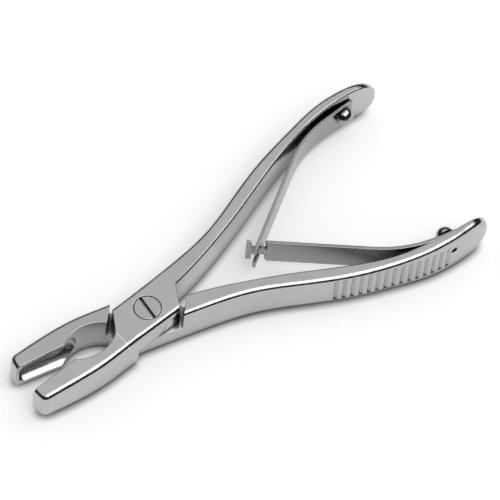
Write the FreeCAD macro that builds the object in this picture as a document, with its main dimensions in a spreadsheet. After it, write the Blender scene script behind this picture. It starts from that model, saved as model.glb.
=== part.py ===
import FreeCAD, Part
import Sketcher
import math
import os
import re

# Bone rongeur: two lapped halves on one slotted pivot screw, each with a leaf spring on a ball screw.
# The pivot axis is +Z through the origin, the jaws point along -X and the handles along +X.
# Each half is drawn with its long axis along X, then turned out by half the opening. Lengths are in mm.

vector = FreeCAD.Vector
doc = FreeCAD.newDocument("BoneRongeur")

# what counts as upright: the largest upward part of a wall's normal, and the least share of its
# length by which an edge rises
uprightNormal = 0.3
uprightRise = 0.9
# the least volume that a cut takes away, in cubic mm
leastCut = 1e-4

sizes = {
    # whole tool
    "openAngle": 14.0,
    "handleEndX": 106.4,
    "jointDepth": 13.4,
    "lapGap": 0.08,
    "margin": 1.0,
    "sideReach": 40.0,
    "outerRound": 1.5,
    "jawRound": 1.9,
    "tipRound": 2.5,
    "innerBreak": 0.4,
    # plate at the joint, with the two slanted shoulders
    "plateHalfWidth": 6.7,
    "plateBackX": 7.8,
    "plateNoseX": 12.9,
    "plateNoseY": 0.5,
    "plateFrontX": 7.0,
    "crotchX": 11.9,
    "crotchY": 0.9,
    "jawShoulderGap": 1.0,
    "handleShoulderGap": 1.7,
    "lapReach": 3.0,
    "plateSwell": 0.1,
    # jaws
    "jawTipX": 43.6,
    "jawTipY": 4.0,
    "jawTipHalfDepth": 4.9,
    "jawMidX": 34.0,
    "jawMidY": 5.6,
    "jawMidHalfDepth": 6.1,
    "jawRootX": 22.0,
    "jawRootY": 7.5,
    "jawHeelX": 14.0,
    "rimHeelX": 27.9,
    "rimTipY": 0.8,
    "rimHeelY": 0.5,
    "throatDeepY": 3.7,
    "throatFrontX": 23.0,
    "throatBackX": 17.0,
    # hollow of each jaw
    "cupAxisY": 1.45,
    "cupTipRadius": 4.1,
    "cupHeelRadius": 5.2,
    "cupTipWall": 1.2,
    "cupEndX": 21.5,
    "cupTipRound": 1.5,
    "cupRunOut": 3.5,
    "throatEase": 0.4,
    # handles: stations along the length, then the outer and inner edges there
    "shankX": 18.0,
    "neckX": 32.0,
    "midX": 46.0,
    "swellX": 60.0,
    "bendX": 76.0,
    "tailX": 92.0,
    "shankOuter": 7.4,
    "neckOuter": 8.8,
    "midOuter": 13.5,
    "swellOuter": 17.8,
    "bendOuter": 20.3,
    "tailOuter": 21.8,
    "endOuter": 17.2,
    "shankInner": 1.5,
    "neckInner": 4.5,
    "midInner": 8.4,
    "swellInner": 13.0,
    "bendInner": 17.3,
    "tailInner": 18.1,
    "endInner": 14.8,
    # handle depth seen from the side
    "shoulderEndX": 8.9,
    "waistLeadX": 22.0,
    "waistStartX": 40.0,
    "waistTop": 13.4,
    "waistBottom": 1.2,
    "flareDepth": 15.7,
    "flareX": 88.0,
    "endRoundX": 97.0,
    "endRoundPull": 3.0,
    # grip grooves on the outside of each handle
    "gripStartX": 54.9,
    "gripPitch": 2.57,
    "gripCount": 15,
    "gripDepth": 0.35,
    "gripRadius": 0.75,
    "gripTop": 12.3,
    "gripBottom": 2.6,
    # pivot screw
    "screwHeadRadius": 4.1,
    "screwHeadDepth": 2.2,
    "screwShankRadius": 2.4,
    "screwFit": 0.05,
    "slotWidth": 0.8,
    "slotDepth": 0.9,
    "slotAngle": 88.0,
    "screwChamfer": 0.2,
    # round-headed screws that hold the springs
    "springHeight": 7.9,
    "ballX": 92.9,
    "ballHeight": 9.6,
    "ballRadius": 2.85,
    "ballShankRadius": 1.0,
    "ballFit": 0.04,
    "ballShankEnd": 2.4,
    # leaf springs
    "leafThickness": 1.0,
    "leafHalfWidth": 4.7,
    "leafSeatGap": 0.7,
    "leafBallGap": 0.75,
    "leafEndX": 96.8,
    "leafHoleFit": 0.35,
    "upperBendX": 86.3,
    "upperBendRadius": 38.0,
    "upperLegAngle": 28.8,
    "upperTipX": 38.0,
    "lowerBendX": 90.0,
    "lowerBendRadius": 40.0,
    "lowerLegAngle": 30.0,
    "lowerTipX": 37.4,
    "forkSlotHalf": 1.9,
    "forkSlotLength": 4.8,
    "neckHalf": 1.5,
    "neckLength": 4.0,
    "teeLength": 1.4,
    "teeHalf": 4.2,
}

sheet = doc.addObject("Spreadsheet::Sheet", "Sizes")
for row, (alias, value) in enumerate(sizes.items(), start=1):
    sheet.set(f"A{row}", alias)
    sheet.set(f"B{row}", str(value))
    sheet.setAlias(f"B{row}", alias)
doc.recompute()


def bind(text):
    """Write a sum of size names as an expression on the sheet."""
    def named(word):
        return "Sizes." + word[0] if word[0] in sizes else word[0]

    return re.sub(r"[A-Za-z]\w*", named, str(text))


def number(text):
    """The present value of such a sum."""
    return float(sheet.evalExpression(bind(text)))


def curveAt(poles, across):
    """Height of a pole curve where it passes a place along the length."""
    spline = Part.BSplineCurve()
    spline.buildFromPolesMultsKnots([vector(number(x), number(y), 0) for x, y in poles], degree=3)
    low, high = spline.FirstParameter, spline.LastParameter
    rising = spline.value(high).x > spline.value(low).x
    for _ in range(50):
        middle = (low + high) / 2
        if (spline.value(middle).x < across) == rising:
            low = middle
        else:
            high = middle
    return spline.value(middle).y


def newBody(label):
    body = doc.addObject("PartDesign::Body", label)
    body.Label = label
    return body


class Drawing:
    """A sketch on one origin plane of a body; every corner has a place that follows the sheet."""

    def __init__(self, body, name, role, lift="0"):
        self.sketch = body.newObject("Sketcher::SketchObject", name)
        plane = [item for item in body.Origin.OriginFeatures if item.Role == role][0]
        self.sketch.AttachmentSupport = (plane, "")
        self.sketch.MapMode = "FlatFace"
        self.sketch.setExpression(".AttachmentOffset.Base.z", bind(lift))
        self.start = None
        self.last = None

    def at(self, place):
        return vector(number(place[0]), number(place[1]), 0)

    def pin(self, geometry, corner, place):
        for kind, text in zip(("DistanceX", "DistanceY"), place):
            self.measure(kind, (-1, 1, geometry, corner), text)

    def measure(self, kind, where, text):
        rule = self.sketch.addConstraint(Sketcher.Constraint(kind, *where, number(text)))
        self.sketch.setExpression(f"Constraints[{rule}]", bind(text))

    def meet(self, geometry, corner, other, otherCorner):
        self.sketch.addConstraint(Sketcher.Constraint("Coincident", geometry, corner, other, otherCorner))

    def attach(self, begin, end, first, last, close):
        """Tie a new edge to the one before it, and pin the corners that are still free."""
        if self.last is None:
            self.start = begin
            self.pin(*first)
        else:
            self.meet(*self.last, *begin)
        if close:
            self.meet(*end, *self.start)
        else:
            self.pin(*last)
        self.last = None if close else end

    def line(self, first, second, close=False):
        edge = self.sketch.addGeometry(Part.LineSegment(self.at(first), self.at(second)), False)
        self.attach((edge, 1), (edge, 2), (edge, 1, first), (edge, 2, second), close)

    def lines(self, places):
        """A closed outline of straight lines."""
        for first, second in zip(places, places[1:] + places[:1]):
            self.line(first, second, close=second is places[0])

    def arc(self, first, second, radius, turn):
        """An arc of a given radius; turn is 1 where it bends left on the way, -1 where right."""
        start, end = self.at(first), self.at(second)
        chord = end - start
        aside = vector(chord.y, -chord.x, 0).normalize()
        rise = number(radius) - math.sqrt(number(radius) ** 2 - (chord.Length / 2) ** 2)
        middle = (start + end) / 2 + aside * rise * turn
        edge = self.sketch.addGeometry(Part.Arc(start, middle, end), False)
        begin, finish = ((edge, 1), (edge, 2)) if turn > 0 else ((edge, 2), (edge, 1))
        self.attach(begin, finish, (*begin, first), (*finish, second), False)
        self.measure("Radius", (edge,), radius)

    def curve(self, poles, close=False):
        """A smooth curve from the first pole to the last, drawn towards the poles between them."""
        spots = [self.at(place) for place in poles]
        spline = Part.BSplineCurve()
        spline.buildFromPolesMultsKnots(spots, degree=3)
        geometry = self.sketch.addGeometry(spline, False)
        marks = []
        for index, spot in enumerate(spots):
            mark = self.sketch.addGeometry(Part.Circle(spot, vector(0, 0, 1), 1.0), True)
            weight = ("Equal", marks[0], mark) if marks else ("Weight", mark, 1.0)
            self.sketch.addConstraint(Sketcher.Constraint(*weight))
            self.sketch.addConstraint(Sketcher.Constraint(
                "InternalAlignment:Sketcher::BSplineControlPoint", mark, 3, geometry, index))
            if 0 < index < len(spots) - 1:
                self.pin(mark, 3, poles[index])
            marks.append(mark)
        ends = (marks[0], 3, poles[0]), (marks[-1], 3, poles[-1])
        self.attach((geometry, 1), (geometry, 2), *ends, close)

    def circle(self, centre, radius):
        geometry = self.sketch.addGeometry(
            Part.Circle(self.at(centre), vector(0, 0, 1), number(radius)), False)
        self.pin(geometry, 3, centre)
        self.measure("Radius", (geometry,), radius)


def pad(body, name, drawing, length, symmetric=False):
    feature = body.newObject("PartDesign::Pad", name)
    feature.Profile = drawing.sketch
    feature.setExpression("Length", bind(length))
    if symmetric:
        feature.SideType = "Symmetric"
    doc.recompute()


def cut(body, feature, drawing):
    """Set up a cutting feature and make sure that it takes something away."""
    before = body.Tip.Shape.Volume if body.Tip != feature else feature.BaseFeature.Shape.Volume
    feature.Profile = drawing.sketch
    doc.recompute()
    if feature.Shape.isNull() or feature.Shape.Volume > before - leastCut:
        raise RuntimeError(f"{body.Label}: {feature.Name} cuts nothing")


def pocket(body, name, drawing, length=None, symmetric=False, reverse=False):
    feature = body.newObject("PartDesign::Pocket", name)
    feature.Reversed = reverse
    if symmetric:
        feature.SideType = "Symmetric"
    if length is None:
        feature.Type = "ThroughAll"
    else:
        feature.setExpression("Length", bind(length))
    cut(body, feature, drawing)


def groove(body, name, drawing, axis):
    feature = body.newObject("PartDesign::Groove", name)
    feature.ReferenceAxis = (drawing.sketch, [axis])
    feature.Angle = 360
    cut(body, feature, drawing)


def revolution(body, name, drawing, axis):
    feature = body.newObject("PartDesign::Revolution", name)
    feature.Profile = drawing.sketch
    feature.ReferenceAxis = (drawing.sketch, [axis])
    feature.Angle = 360
    doc.recompute()


def soften(body, kind, name, size, wanted):
    """Fillet or chamfer the edges of the solid so far that pass a test of direction and upright walls."""
    base = body.Tip
    chosen = []
    for index, edge in enumerate(base.Shape.Edges, start=1):
        walls = []
        for face in base.Shape.ancestorsOfType(edge, Part.Face):
            low, high, near, far = face.ParameterRange
            if abs(face.normalAt((low + high) / 2, (near + far) / 2).z) < uprightNormal:
                walls.append(face.BoundBox)
        rise = edge.valueAt(edge.LastParameter).z - edge.valueAt(edge.FirstParameter).z
        upright = abs(rise) > uprightRise * edge.Length
        if wanted(upright, walls):
            chosen.append(f"Edge{index}")
    feature = body.newObject(f"PartDesign::{kind}", name)
    feature.Base = (base, chosen)
    feature.setExpression("Radius" if kind == "Fillet" else "Size", bind(size))
    doc.recompute()


def halfOutline(body, side):
    """Plan of one half: plate, throat, jaw, plate front, handle."""
    def y(text):
        return f"{side} * ({text})"

    draw = Drawing(body, "Outline", "XY_Plane")
    back = ("-plateBackX", y("plateHalfWidth"))
    nose = ("-plateNoseX", y("-plateNoseY"))
    heel = ("-rimHeelX", y("rimHeelY"))
    tip = ("-jawTipX", y("rimTipY"))
    tipOuter = ("-jawTipX", y("-jawTipY"))
    front = ("-plateBackX", y("-plateHalfWidth"))
    frontEnd = ("plateFrontX", y("-plateHalfWidth"))
    tailOuter = ("handleEndX", y("endOuter"))
    draw.line(back, nose)
    draw.curve([nose, ("-throatBackX", y("-throatDeepY + throatEase")),
                ("-throatFrontX", y("-throatDeepY")), heel])
    draw.line(heel, tip)
    draw.line(tip, tipOuter)
    draw.curve([tipOuter, ("-jawMidX", y("-jawMidY")), ("-jawRootX", y("-jawRootY")),
                ("-jawHeelX", y("-plateHalfWidth")), front])
    draw.line(front, frontEnd)
    draw.line(frontEnd, ("crotchX", y("crotchY")))
    draw.curve([(x, y(text)) for x, text in innerPoles])
    draw.line(("handleEndX", y("endInner")), tailOuter)
    outer = [(f"{word}X", y(f"{word}Outer")) for word in reversed(stations)]
    draw.curve([tailOuter] + outer + [("0", y("plateHalfWidth + plateSwell")), back], close=True)
    return draw


def sideProfile(body, name, jointLevel, sign, waist, flare, beyond):
    """Side view of what is cut away above the half (sign 1) or below it (sign -1)."""
    tip = f"jointDepth / 2 + {sign} * jawTipHalfDepth"
    middle = "flareDepth / 2"
    endPull = f"{flare} - {sign} * endRoundPull"
    draw = Drawing(body, name, "XZ_Plane", "sideReach")
    draw.line(("-jawTipX - margin", tip), ("-jawTipX", tip))
    draw.curve([("-jawTipX", tip), ("-jawMidX", f"jointDepth / 2 + {sign} * jawMidHalfDepth"),
                ("-jawRootX", jointLevel), ("-plateNoseX", jointLevel)])
    draw.line(("-plateNoseX", jointLevel), ("shoulderEndX", jointLevel))
    draw.curve([("shoulderEndX", jointLevel), ("waistLeadX", jointLevel), ("waistStartX", waist),
                ("swellX", waist), ("bendX", waist), ("flareX", flare), ("endRoundX", flare)])
    draw.curve([("endRoundX", flare), ("handleEndX - endRoundPull", flare), ("handleEndX", endPull),
                ("handleEndX", middle)])
    draw.line(("handleEndX", middle), ("handleEndX + margin", middle))
    draw.line(("handleEndX + margin", middle), ("handleEndX + margin", beyond))
    draw.line(("handleEndX + margin", beyond), ("-jawTipX - margin", beyond))
    draw.line(("-jawTipX - margin", beyond), ("-jawTipX - margin", tip), close=True)
    return draw


def lapPlan(body, side):
    """Plan of the recess that takes the other half's plate, with walls along its shoulders."""
    def y(text):
        return f"{side} * ({text})"

    def jawWall(height):
        slope = "(plateNoseX - plateBackX) / (plateHalfWidth + plateNoseY)"
        return f"-plateBackX - jawShoulderGap - {slope} * ({height} + plateHalfWidth)"

    def handleWall(height):
        slope = "(crotchX - plateFrontX) / (plateHalfWidth + crotchY)"
        return f"plateFrontX + handleShoulderGap + {slope} * (plateHalfWidth - ({height}))"

    lift = "jointDepth / 2 + lapGap / 2" if side > 0 else "jointDepth / 2 - lapGap / 2"
    far = "plateHalfWidth + lapReach"
    near = "-plateHalfWidth - lapReach"
    draw = Drawing(body, "LapPlan", "XY_Plane", lift)
    draw.lines([(jawWall(near), y(near)), (jawWall("lapReach"), y("lapReach")), (jawWall("lapReach"), y(far)),
                (handleWall(far), y(far)), (handleWall(near), y(near))])
    return draw


def cupProfile(body, side):
    """Half section of the jaw's hollow, to be turned about an axis just outside the rim."""
    def y(text):
        return f"{side} * (cupAxisY - ({text}))"

    draw = Drawing(body, "CupProfile", "XY_Plane", "jointDepth / 2")
    tip = "-jawTipX + cupTipWall"
    draw.line((tip, y("0")), (tip, y("cupTipRadius - cupTipRound")))
    draw.line((tip, y("cupTipRadius - cupTipRound")), (f"{tip} + cupTipRound", y("cupTipRadius")))
    draw.line((f"{tip} + cupTipRound", y("cupTipRadius")), ("-cupEndX - cupRunOut", y("cupHeelRadius")))
    draw.curve([("-cupEndX - cupRunOut", y("cupHeelRadius")), ("-cupEndX", y("cupHeelRadius")),
                ("-cupEndX", y("cupHeelRadius / 2")), ("-cupEndX", y("0"))])
    draw.line(("-cupEndX", y("0")), (tip, y("0")), close=True)
    return draw


def gripPlan(body, side):
    """Small circles whose centres follow the outer edge of the handle."""
    draw = Drawing(body, "GripPlan", "XY_Plane", "gripTop")
    for index in range(int(number("gripCount"))):
        along = f"gripStartX + {index} * gripPitch"
        edge = curveAt(outerPoles, number(along))
        draw.circle((along, f"{side} * ({edge:.4f} + gripRadius - gripDepth)"), "gripRadius")
    return draw


def turnOpen(body, side):
    """Turn a closed-frame piece out to its rest place."""
    body.Placement = FreeCAD.Placement(vector(), FreeCAD.Rotation(vector(0, 0, side), number("openAngle / 2")))


def makeHalf(label, side):
    body = newBody(label)
    pad(body, "Blank", halfOutline(body, side), "flareDepth")
    pocket(body, "TopShape", sideProfile(
        body, "TopProfile", "jointDepth", 1, "waistTop", "flareDepth", "flareDepth + margin"))
    pocket(body, "UnderShape", sideProfile(
        body, "UnderProfile", "0", -1, "waistBottom", "0", "-margin"))

    def sidesOfJaw(walls):
        return [box for box in walls if box.XMax < number("plateFrontX + plateSwell")
                and max(side * box.YMin, side * box.YMax) < number("plateSwell - jawTipY")]

    def noseOfJaw(walls):
        return [box for box in walls if box.XMax < number("plateSwell - jawTipX")]

    def tipCorner(upright, walls):
        return upright and bool(sidesOfJaw(walls)) and bool(noseOfJaw(walls))

    def outsideOfJaw(upright, walls):
        return not upright and bool(sidesOfJaw(walls) or noseOfJaw(walls))

    def outsideOfHandle(upright, walls):
        return not upright and any(box.XLength > number("handleEndX") for box in walls)

    def insideOfHandle(upright, walls):
        return not upright and any(
            number("handleEndX / 2") < box.XLength < number("handleEndX") for box in walls)

    soften(body, "Fillet", "TipRound", "tipRound", tipCorner)
    soften(body, "Fillet", "JawRound", "jawRound", outsideOfJaw)
    soften(body, "Fillet", "HandleRound", "outerRound", outsideOfHandle)
    soften(body, "Chamfer", "InnerBreak", "innerBreak", insideOfHandle)
    pocket(body, "Lap", lapPlan(body, side), reverse=side < 0)
    groove(body, "Cup", cupProfile(body, side), "Edge5")
    pocket(body, "Grip", gripPlan(body, side), "gripTop - gripBottom")
    shank = Drawing(body, "ShankPlan", "XY_Plane")
    shank.circle(("0", "0"), "screwShankRadius + screwFit")
    pocket(body, "ShankBore", shank, reverse=True)
    if side > 0:
        seat = Drawing(body, "HeadPlan", "XY_Plane", "jointDepth")
        seat.circle(("0", "0"), "screwHeadRadius + screwFit")
        pocket(body, "HeadSeat", seat, "screwHeadDepth + screwFit")
    hole = Drawing(body, "BallScrewPlan", "XZ_Plane", f"{-side} * sideReach")
    hole.circle(("ballX", "ballHeight"), "ballShankRadius + ballFit")
    pocket(body, "BallScrewHole", hole, reverse=side > 0)
    turnOpen(body, side)
    return body


def makePivotScrew():
    body = newBody("pivot_screw")
    draw = Drawing(body, "ScrewProfile", "XZ_Plane")
    under = "jointDepth - screwHeadDepth"
    draw.lines([("0", "0"), ("screwShankRadius", "0"), ("screwShankRadius", under),
                ("screwHeadRadius", under), ("screwHeadRadius", "jointDepth - screwChamfer"),
                ("screwHeadRadius - screwChamfer", "jointDepth"), ("0", "jointDepth")])
    revolution(body, "Turned", draw, "V_Axis")
    slot = Drawing(body, "SlotPlan", "XY_Plane", "jointDepth")
    slot.sketch.setExpression(".AttachmentOffset.Rotation.Angle", bind("slotAngle"))
    left, right = "-screwHeadRadius - margin", "screwHeadRadius + margin"
    slot.lines([(left, "-slotWidth / 2"), (right, "-slotWidth / 2"), (right, "slotWidth / 2"),
                (left, "slotWidth / 2")])
    pocket(body, "Slot", slot, "slotDepth")
    return body


def makeBallScrew(label, side):
    """A polished domed head whose shank passes through the spring into the handle."""
    body = newBody(label)
    under = "seatHeight - leafSeatGap - leafThickness - leafBallGap"
    draw = Drawing(body, "BallProfile", "XY_Plane", "ballHeight")

    def y(text):
        return f"{side} * ({text})"

    pole = ("ballX", y(f"{under} - ballRadius"))
    rim = ("ballX + ballRadius", y(under))
    neck = ("ballX + ballShankRadius", y(under))
    foot = ("ballX + ballShankRadius", y("seatHeight + ballShankEnd"))
    footCentre = ("ballX", y("seatHeight + ballShankEnd"))
    draw.arc(pole, rim, "ballRadius", side)
    draw.line(rim, neck)
    draw.line(neck, foot)
    draw.line(foot, footCentre)
    draw.line(footCentre, pole, close=True)
    revolution(body, "Turned", draw, "Edge5")
    turnOpen(body, side)
    return body


def makeLeaf(label, side, kind):
    """A flat spring: a seat along the handle, one long bend and a straight leg."""
    def y(text):
        return f"{side} * ({text})"

    body = newBody(label)
    bend, radius, angle = f"{kind}BendX", f"{kind}BendRadius", f"{kind}LegAngle"
    outer = "seatHeight - leafSeatGap"
    legX = f"{bend} - {radius} * sin({angle})"
    legY = f"{outer} - {radius} * (1 - cos({angle}))"
    tipX = f"{kind}TipX"
    tipY = f"{legY} - ({legX} - {tipX}) * tan({angle})"
    shiftX = f"leafThickness * sin({angle})"
    shiftY = f"leafThickness * cos({angle})"
    seatEnd = ("leafEndX", y(outer))
    legTop = (legX, y(legY))
    innerLegTop = (f"{legX} + {shiftX}", y(f"{legY} - {shiftY}"))
    innerBend = (bend, y(f"{outer} - leafThickness"))
    draw = Drawing(body, "LeafPlan", "XY_Plane", "springHeight")
    draw.line(seatEnd, (bend, y(outer)))
    draw.arc((bend, y(outer)), legTop, radius, side)
    draw.line(legTop, (tipX, y(tipY)))
    draw.line((tipX, y(tipY)), (f"{tipX} + {shiftX}", y(f"{tipY} - {shiftY}")))
    draw.line((f"{tipX} + {shiftX}", y(f"{tipY} - {shiftY}")), innerLegTop)
    draw.arc(innerLegTop, innerBend, f"{radius} - leafThickness", -side)
    draw.line(innerBend, ("leafEndX", y(f"{outer} - leafThickness")))
    draw.line(("leafEndX", y(f"{outer} - leafThickness")), seatEnd, close=True)
    pad(body, "Strip", draw, "leafHalfWidth * 2", symmetric=True)
    hole = Drawing(body, "HolePlan", "XZ_Plane")
    hole.circle(("ballX", "ballHeight"), "ballShankRadius + leafHoleFit")
    pocket(body, "Hole", hole, symmetric=True)
    end = Drawing(body, "EndPlan", "XZ_Plane")
    over = "leafHalfWidth + margin"
    free = f"{tipX} - margin"
    if kind == "upper":
        root = f"{tipX} + forkSlotLength"
        end.lines([(free, "springHeight - forkSlotHalf"), (root, "springHeight - forkSlotHalf"),
                   (root, "springHeight + forkSlotHalf"), (free, "springHeight + forkSlotHalf")])
    else:
        head, root = f"{tipX} + teeLength", f"{tipX} + teeLength + neckLength"
        for way in ("+", "-"):
            end.lines([(free, f"springHeight {way} teeHalf"), (head, f"springHeight {way} teeHalf"),
                       (head, f"springHeight {way} neckHalf"), (root, f"springHeight {way} neckHalf"),
                       (root, f"springHeight {way} ({over})"), (free, f"springHeight {way} ({over})")])
    pocket(body, "EndShape", end, symmetric=True)
    turnOpen(body, side)
    return body


stations = ["shank", "neck", "mid", "swell", "bend", "tail"]
innerPoles = ([("crotchX", "crotchY")] + [(f"{word}X", f"{word}Inner") for word in stations]
              + [("handleEndX", "endInner")])
outerPoles = ([("-plateBackX", "plateHalfWidth"), ("0", "plateHalfWidth + plateSwell")]
              + [(f"{word}X", f"{word}Outer") for word in stations] + [("handleEndX", "endOuter")])

sizes["seatHeight"] = round(curveAt(innerPoles, number("ballX")), 4)
sheet.set(f"B{len(sizes)}", str(sizes["seatHeight"]))
sheet.setAlias(f"B{len(sizes)}", "seatHeight")
doc.recompute()

bodies = [makeHalf("upper_half", 1), makeHalf("lower_half", -1), makePivotScrew(),
          makeLeaf("upper_leaf_spring", 1, "upper"), makeLeaf("lower_leaf_spring", -1, "lower"),
          makeBallScrew("upper_ball_screw", 1), makeBallScrew("lower_ball_screw", -1)]
for item in doc.Objects:
    if "Invalid" in item.State or "Error" in item.State:
        raise RuntimeError(f"{item.Label} did not build")
for body in bodies:
    if body.Shape.isNull() or not body.Shape.isValid() or len(body.Shape.Solids) != 1:
        raise RuntimeError(f"{body.Label} is not one sound solid")
os.makedirs("parts", exist_ok=True)
for body in bodies:
    body.Shape.exportStep(f"parts/{body.Label}.step")
    print(body.Label, round(body.Shape.Volume, 1), "cubic mm")
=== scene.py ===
import bpy
import math
import numpy as np
from mathutils import Matrix, Vector


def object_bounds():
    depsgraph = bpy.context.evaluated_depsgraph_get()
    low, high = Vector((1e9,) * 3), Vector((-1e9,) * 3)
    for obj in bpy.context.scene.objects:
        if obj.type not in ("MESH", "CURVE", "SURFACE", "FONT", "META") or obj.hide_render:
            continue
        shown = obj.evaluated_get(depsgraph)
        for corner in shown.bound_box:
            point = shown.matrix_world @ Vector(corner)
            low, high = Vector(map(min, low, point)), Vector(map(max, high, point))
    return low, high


# Bone rongeur on a white table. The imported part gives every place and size; lengths are in metres.

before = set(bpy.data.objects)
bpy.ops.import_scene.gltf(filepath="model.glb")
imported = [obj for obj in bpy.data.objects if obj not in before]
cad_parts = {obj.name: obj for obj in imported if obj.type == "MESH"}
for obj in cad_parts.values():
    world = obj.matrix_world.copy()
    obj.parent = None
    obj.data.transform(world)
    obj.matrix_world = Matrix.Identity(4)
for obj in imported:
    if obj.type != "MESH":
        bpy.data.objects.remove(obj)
boundsCad = [list(corner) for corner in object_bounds()]
mm = 0.001
print("stage: frame loaded, nodes", sorted(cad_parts))


# node helpers

def newMaterial(name):
    material = bpy.data.materials.new(name)
    material.use_nodes = True
    tree = material.node_tree
    tree.nodes.clear()
    output = tree.nodes.new("ShaderNodeOutputMaterial")
    shader = tree.nodes.new("ShaderNodeBsdfPrincipled")
    tree.links.new(shader.outputs["BSDF"], output.inputs["Surface"])
    return material, tree, shader


def pattern(tree, turn, stretch, scale, detail, roughness=0.55):
    # noise in object coordinates, turned about z and drawn out where stretch is small
    place = tree.nodes.new("ShaderNodeTexCoord")
    mapping = tree.nodes.new("ShaderNodeMapping")
    mapping.inputs["Rotation"].default_value = (0, 0, turn)
    mapping.inputs["Scale"].default_value = stretch
    tree.links.new(place.outputs["Object"], mapping.inputs["Vector"])
    node = tree.nodes.new("ShaderNodeTexNoise")
    node.inputs["Scale"].default_value = scale
    node.inputs["Detail"].default_value = detail
    node.inputs["Roughness"].default_value = roughness
    tree.links.new(mapping.outputs["Vector"], node.inputs["Vector"])
    return node.outputs["Fac"]


def remap(tree, value, limits, results):
    # a value between the limits becomes one between the results
    node = tree.nodes.new("ShaderNodeMapRange")
    names = ("From Min", "From Max", "To Min", "To Max")
    for name, number in zip(names, (*limits, *results)):
        node.inputs[name].default_value = number
    tree.links.new(value, node.inputs["Value"])
    return node.outputs["Result"]


def combine(tree, operation, first, second=0):
    node = tree.nodes.new("ShaderNodeMath")
    node.operation = operation
    for socket, value in zip(node.inputs, (first, second)):
        if isinstance(value, (int, float)):
            socket.default_value = value
        else:
            tree.links.new(value, socket)
    return node.outputs["Value"]


def blendColours(tree, factor, first, second, blend="MIX"):
    # each colour is a plain one or a node's output
    node = tree.nodes.new("ShaderNodeMix")
    node.data_type = "RGBA"
    node.blend_type = blend
    for name, colour in (("A", first), ("B", second)):
        if isinstance(colour, tuple):
            node.inputs[name].default_value = (*colour, 1)
        else:
            tree.links.new(colour, node.inputs[name])
    tree.links.new(factor, node.inputs["Factor"])
    return node.outputs["Result"]


def withPaintedShade(tree, colour, paintedShades, samples=8):
    # painted shade: grooves, corners, gaps and the sides near the table are painted darker; the less
    # open a spot is within reach, the darker it gets
    for reach, limits, shade in paintedShades:
        openness = tree.nodes.new("ShaderNodeAmbientOcclusion")
        openness.samples = samples
        openness.inputs["Distance"].default_value = reach
        closed = remap(tree, openness.outputs["AO"], limits, (1, 0))
        colour = blendColours(tree, closed, colour, (shade, shade, shade), "MULTIPLY")
    return colour


# the seven steel pieces

satin = {"dark": (0.42, 0.416, 0.409), "light": (0.53, 0.526, 0.519), "roughness": (0.13, 0.22),
         # painted shade in hollows and gaps: reach, how open a spot is where the shade is full and
         # where it ends, shade
         "paintedShade": ((1.1 * mm, (0.72, 0.96), 0.5), (3.0 * mm, (0.25, 0.58), 0.22),
                  (8.0 * mm, (0.12, 0.40), 0.25)),
         # patterns: turn, stretch, scale and detail; lines and marks also turn with the brushing
         "brushTurn": 0.0, "lines": (0, (0.05, 1, 1), 5200, 4), "clouds": (0, (1, 1, 1), 60, 3),
         "marks": (0.9, (1, 0.06, 1), 900, 2), "spots": (0.4, (1, 1, 1), 420, 5),
         # the values between which each pattern changes the colour or the roughness
         "toneRange": (0.3, 0.7), "lineRange": (0.3, 0.7), "cloudRange": (0.35, 0.7),
         "markRange": (0.62, 0.75), "spotRange": (0.64, 0.78),
         "cloudRough": 0.03, "markRough": 0.09,
         "bump": 0.10, "bumpDepth": 0.02 * mm, "markDepth": 0.4,
         "edgeRadius": 0.45 * mm, "edgeSamples": 6}
leaf = dict(satin, dark=(0.295, 0.291, 0.285), light=(0.375, 0.37, 0.363), roughness=(0.20, 0.30),
            lines=(0, (0.05, 1, 1), 4200, 4))
turned = dict(satin, roughness=(0.16, 0.24), lines=(0, (1, 1, 1), 3000, 4), bump=0.05)
mirror = dict(satin, dark=(0.33, 0.33, 0.327), light=(0.39, 0.39, 0.386), roughness=(0.08, 0.12),
              cloudRough=0.01, markRough=0.03, lines=(0, (1, 1, 1), 800, 4), bump=0.01,
              # painted shade: a dark ring round the ball where it meets the spring, and in the gaps
              # near it
              paintedShade=((1.5 * mm, (0.5, 0.92), 0.2), (5.0 * mm, (0.3, 0.8), 0.5)))

# painted highlight: a light line painted along the crease where the jaw's flat meets the joint's
# flat
# the line starts at a point of the top face and leans by slope; reach is half its solid
# middle and half its whole width
creaseHighlight = {"start": (-12.5 * mm, -1.6 * mm), "slope": -0.07, "reach": (0.105 * mm, 0.21 * mm),
          "strength": 0.75, "above": 12 * mm, "colour": (0.86, 0.86, 0.855)}
# painted light: the upper half is the same steel as the lower, painted a little lighter
upper = dict(satin, dark=(0.435, 0.431, 0.425), light=(0.555, 0.551, 0.544),
             brushTurn=math.radians(-7), creaseHighlight=creaseHighlight)
lower = dict(satin, brushTurn=math.radians(7))


def highlightLineMask(tree, creaseHighlight):
    # a painted highlight: a thin light line on the top face where the jaw's flat meets the joint's
    # flat
    place = tree.nodes.new("ShaderNodeTexCoord")
    parts = tree.nodes.new("ShaderNodeSeparateXYZ")
    tree.links.new(place.outputs["Object"], parts.inputs["Vector"])
    x, y, z = (parts.outputs[axis] for axis in "XYZ")
    startX, startY = creaseHighlight["start"]
    along = combine(tree, "MULTIPLY", combine(tree, "SUBTRACT", y, startY), creaseHighlight["slope"])
    away = combine(tree, "SUBTRACT", x, combine(tree, "ADD", along, startX))
    line = remap(tree, combine(tree, "ABSOLUTE", away), creaseHighlight["reach"], (creaseHighlight["strength"], 0))
    onTop = combine(tree, "GREATER_THAN", z, creaseHighlight["above"])
    nearSide = combine(tree, "LESS_THAN", y, startY)
    return combine(tree, "MULTIPLY", line, combine(tree, "MULTIPLY", onTop, nearSide))


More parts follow.
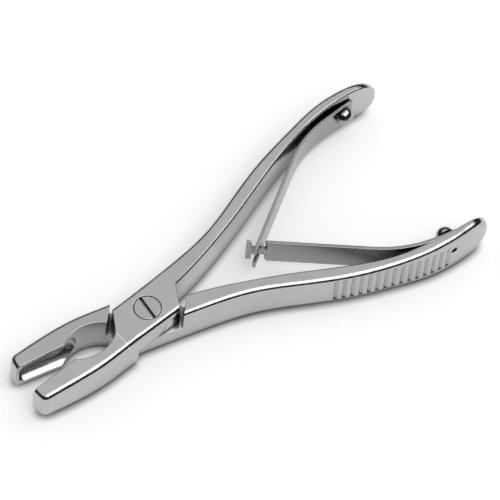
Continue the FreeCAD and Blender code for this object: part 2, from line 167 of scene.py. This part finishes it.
def steelColour(tree, finish, lines, clouds):
    # lines and clouds each give half of the tone between dark and light
    tones = [remap(tree, value, finish["toneRange"], (0, 0.5)) for value in (lines, clouds)]
    steel = blendColours(tree, combine(tree, "ADD", *tones), finish["dark"], finish["light"])
    # paint shade into the steel where it is closed in: grooves, corners, gaps and the sides near the
    # table
    steel = withPaintedShade(tree, steel, finish["paintedShade"])
    # paint the light crease line over the steel: a painted highlight
    if "creaseHighlight" in finish:
        line = highlightLineMask(tree, finish["creaseHighlight"])
        steel = blendColours(tree, line, steel, finish["creaseHighlight"]["colour"])
    return steel


def steelFinish(name, finish):
    # satin steel: fine lines along the brushing, cloudy polish, small handling marks and spots
    material, tree, shader = newMaterial(name)
    shader.inputs["Metallic"].default_value = 1.0
    turns = {"lines": finish["brushTurn"], "clouds": 0, "marks": finish["brushTurn"], "spots": 0}
    lines, clouds, marks, spots = (pattern(tree, turn + finish[key][0], *finish[key][1:])
                                   for key, turn in turns.items())
    tree.links.new(steelColour(tree, finish, lines, clouds), shader.inputs["Base Color"])
    cloudRough, markRough = finish["cloudRough"], finish["markRough"]
    rough = remap(tree, lines, finish["lineRange"], finish["roughness"])
    for value, limits, results in ((clouds, finish["cloudRange"], (-cloudRough, cloudRough)),
                                   (marks, finish["markRange"], (0, markRough)),
                                   (spots, finish["spotRange"], (0, markRough))):
        rough = combine(tree, "ADD", rough, remap(tree, value, limits, results))
    tree.links.new(rough, shader.inputs["Roughness"])
    bump = tree.nodes.new("ShaderNodeBump")
    bump.inputs["Strength"].default_value = finish["bump"]
    bump.inputs["Distance"].default_value = finish["bumpDepth"]
    height = combine(tree, "ADD", lines, combine(tree, "MULTIPLY", marks, finish["markDepth"]))
    tree.links.new(height, bump.inputs["Height"])
    # sharp edges catch the light as if they were broken with a stone
    edge = tree.nodes.new("ShaderNodeBevel")
    edge.samples = finish["edgeSamples"]
    edge.inputs["Radius"].default_value = finish["edgeRadius"]
    tree.links.new(edge.outputs["Normal"], bump.inputs["Normal"])
    tree.links.new(bump.outputs["Normal"], shader.inputs["Normal"])
    return material


upperSteel = steelFinish("satin_steel_upper", upper)
lowerSteel = steelFinish("satin_steel_lower", lower)
leafSteel = steelFinish("spring_steel", leaf)
screwSteel = steelFinish("turned_steel", turned)
domeSteel = steelFinish("polished_steel", mirror)
print("stage: finishes made")

# every piece keeps the part's own form and takes a finish
finishes = {"upper_half": upperSteel, "lower_half": lowerSteel, "pivot_screw": screwSteel,
            "upper_leaf_spring": leafSteel, "lower_leaf_spring": leafSteel,
            "upper_ball_screw": domeSteel, "lower_ball_screw": domeSteel}
for node, steel in finishes.items():
    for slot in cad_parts[node].material_slots:
        slot.material = steel
print("stage: pieces dressed")


# table, light and camera; a softbox's angles are in degrees

studio = {"floorReach": 3.0, "floorColour": (0.56, 0.56, 0.56), "tableGlow": 0.62,
          # the table's painted contact shadow: reach, how open a spot is where the shade is full and
          # where it ends, shade
          "paintedContactShadow": ((3.0 * mm, (0.35, 0.9), 0.12),), "worldLevel": 0.84,
          "softboxes": {"key_softbox": {"azimuth": 282, "elevation": 69, "distance": 0.9,
                                        "size": 0.62, "brightness": 2.4},
                        "end_softbox": {"azimuth": 350, "elevation": 48, "distance": 0.9,
                                        "size": 0.50, "brightness": 1.8}},
          "flagSteps": 48, "flagReach": 0.75, "flagFoot": 0.02, "flagHeight": (0.45, 1.10),
          "flagColour": (0.02, 0.02, 0.02)}
view = {"aim": (0.0398, 0.0033, 0.0067), "distance": 1.5485, "elevation": math.radians(56.9),
        "azimuth": math.radians(49.42), "roll": math.radians(6.32), "lens": 374.4, "sensor": 36,
        "clipEnd": 20}
floorLevel = boundsCad[0][2]


def mattMaterial(name, colour, roughness=0.9, specular=0.1):
    material, tree, shader = newMaterial(name)
    shader.inputs["Base Color"].default_value = (*colour, 1)
    shader.inputs["Roughness"].default_value = roughness
    shader.inputs["Specular IOR Level"].default_value = specular
    return material, tree, shader


def tableSurface():
    # the table adds a little light of its own where it is looked at, so that it reads white
    # round its shadow
    material, tree, shader = mattMaterial("white_table", studio["floorColour"])
    path = tree.nodes.new("ShaderNodeLightPath")
    looked = combine(tree, "MAXIMUM", path.outputs["Is Camera Ray"], combine(
        tree, "MAXIMUM", path.outputs["Is Glossy Ray"], path.outputs["Is Transmission Ray"]))
    # painted shadow: the table is painted darker where the object closes it in
    colour = withPaintedShade(tree, studio["floorColour"], studio["paintedContactShadow"])
    for name in ("Base Color", "Emission Color"):
        tree.links.new(colour, shader.inputs[name])
    glow = combine(tree, "MULTIPLY", looked, studio["tableGlow"])
    tree.links.new(glow, shader.inputs["Emission Strength"])
    return material


def stageMesh(label, corners, faces, material):
    mesh = bpy.data.meshes.new(label)
    mesh.from_pydata(corners, [], faces)
    mesh.materials.append(material)
    piece = bpy.data.objects.new(label, mesh)
    bpy.context.scene.collection.objects.link(piece)
    return piece


def flagWalls(steps):
    # a ring of upright walls: corner n stands at angle n of the circle round the aim, and the
    # tops rise as half a cosine from beyond the object to behind the camera
    around = np.linspace(0, 2 * math.pi, steps, endpoint=False)
    ring = np.column_stack([np.cos(around), np.sin(around)]) * studio["flagReach"]
    ring += np.array(view["aim"][:2])
    behind = 0.5 - 0.5 * np.cos(around - view["azimuth"])
    tops = studio["flagHeight"][0] + np.ptp(studio["flagHeight"]) * behind
    low = np.column_stack([ring, np.full(steps, floorLevel + studio["flagFoot"])])
    step = np.arange(steps)
    after = (step + 1) % steps
    walls = np.column_stack([step, step + steps, after + steps, after])
    return np.vstack([low, np.column_stack([ring, tops])]).tolist(), walls.tolist()


def softbox(label, azimuth, elevation, distance, size, brightness):
    # a square lamp whose face has the given brightness
    azimuth, elevation = math.radians(azimuth), math.radians(elevation)
    away = Vector((math.cos(azimuth) * math.cos(elevation),
                   math.sin(azimuth) * math.cos(elevation), math.sin(elevation)))
    aim = Vector(view["aim"])
    place = aim + away * distance
    lamp = bpy.data.lights.new(label, "AREA")
    lamp.shape = "SQUARE"
    lamp.size = size
    lamp.energy = brightness * math.pi * size * size
    piece = bpy.data.objects.new(label, lamp)
    bpy.context.scene.collection.objects.link(piece)
    facing = (aim - place).to_track_quat("-Z", "Y").to_matrix().to_4x4()
    piece.matrix_world = Matrix.Translation(place) @ facing


def setCamera():
    # roll turns the level view about the line of sight
    camera = bpy.data.cameras.new("camera")
    camera.lens = view["lens"]
    camera.sensor_width = view["sensor"]
    camera.clip_end = view["clipEnd"]
    azimuth, elevation, roll = view["azimuth"], view["elevation"], view["roll"]
    forward = Vector((math.cos(elevation) * math.cos(azimuth),
                      math.cos(elevation) * math.sin(azimuth), -math.sin(elevation)))
    level = Vector((math.sin(azimuth), -math.cos(azimuth), 0))
    upward = level.cross(forward)
    right = level * math.cos(roll) + upward * math.sin(roll)
    top = upward * math.cos(roll) - level * math.sin(roll)
    facing = Matrix((right, top, -forward)).transposed().to_4x4()
    place = Vector(view["aim"]) - forward * view["distance"]
    piece = bpy.data.objects.new("camera", camera)
    bpy.context.scene.collection.objects.link(piece)
    piece.matrix_world = Matrix.Translation(place) @ facing
    bpy.context.scene.camera = piece


reach = studio["floorReach"]
floorCorners = [(x, y, floorLevel) for x, y in ((-reach, -reach), (reach, -reach),
                                                (reach, reach), (-reach, reach))]
stageMesh("table", floorCorners, [(0, 1, 2, 3)], tableSurface())

# dark studio flags round the table, seen only where the steel reflects them
flag = stageMesh("dark_flags", *flagWalls(studio["flagSteps"]),
                 mattMaterial("dark_cloth", studio["flagColour"])[0])
flag.visible_camera = False
flag.visible_diffuse = False
flag.visible_shadow = False

world = bpy.data.worlds.new("studio")
bpy.context.scene.world = world
world.use_nodes = True
background = world.node_tree.nodes["Background"]
background.inputs["Color"].default_value = (1, 1, 1, 1)
background.inputs["Strength"].default_value = studio["worldLevel"]

for label, values in studio["softboxes"].items():
    softbox(label, **values)
setCamera()
bpy.context.scene.view_settings.view_transform = "Standard"
print("stage: table, light and camera set")
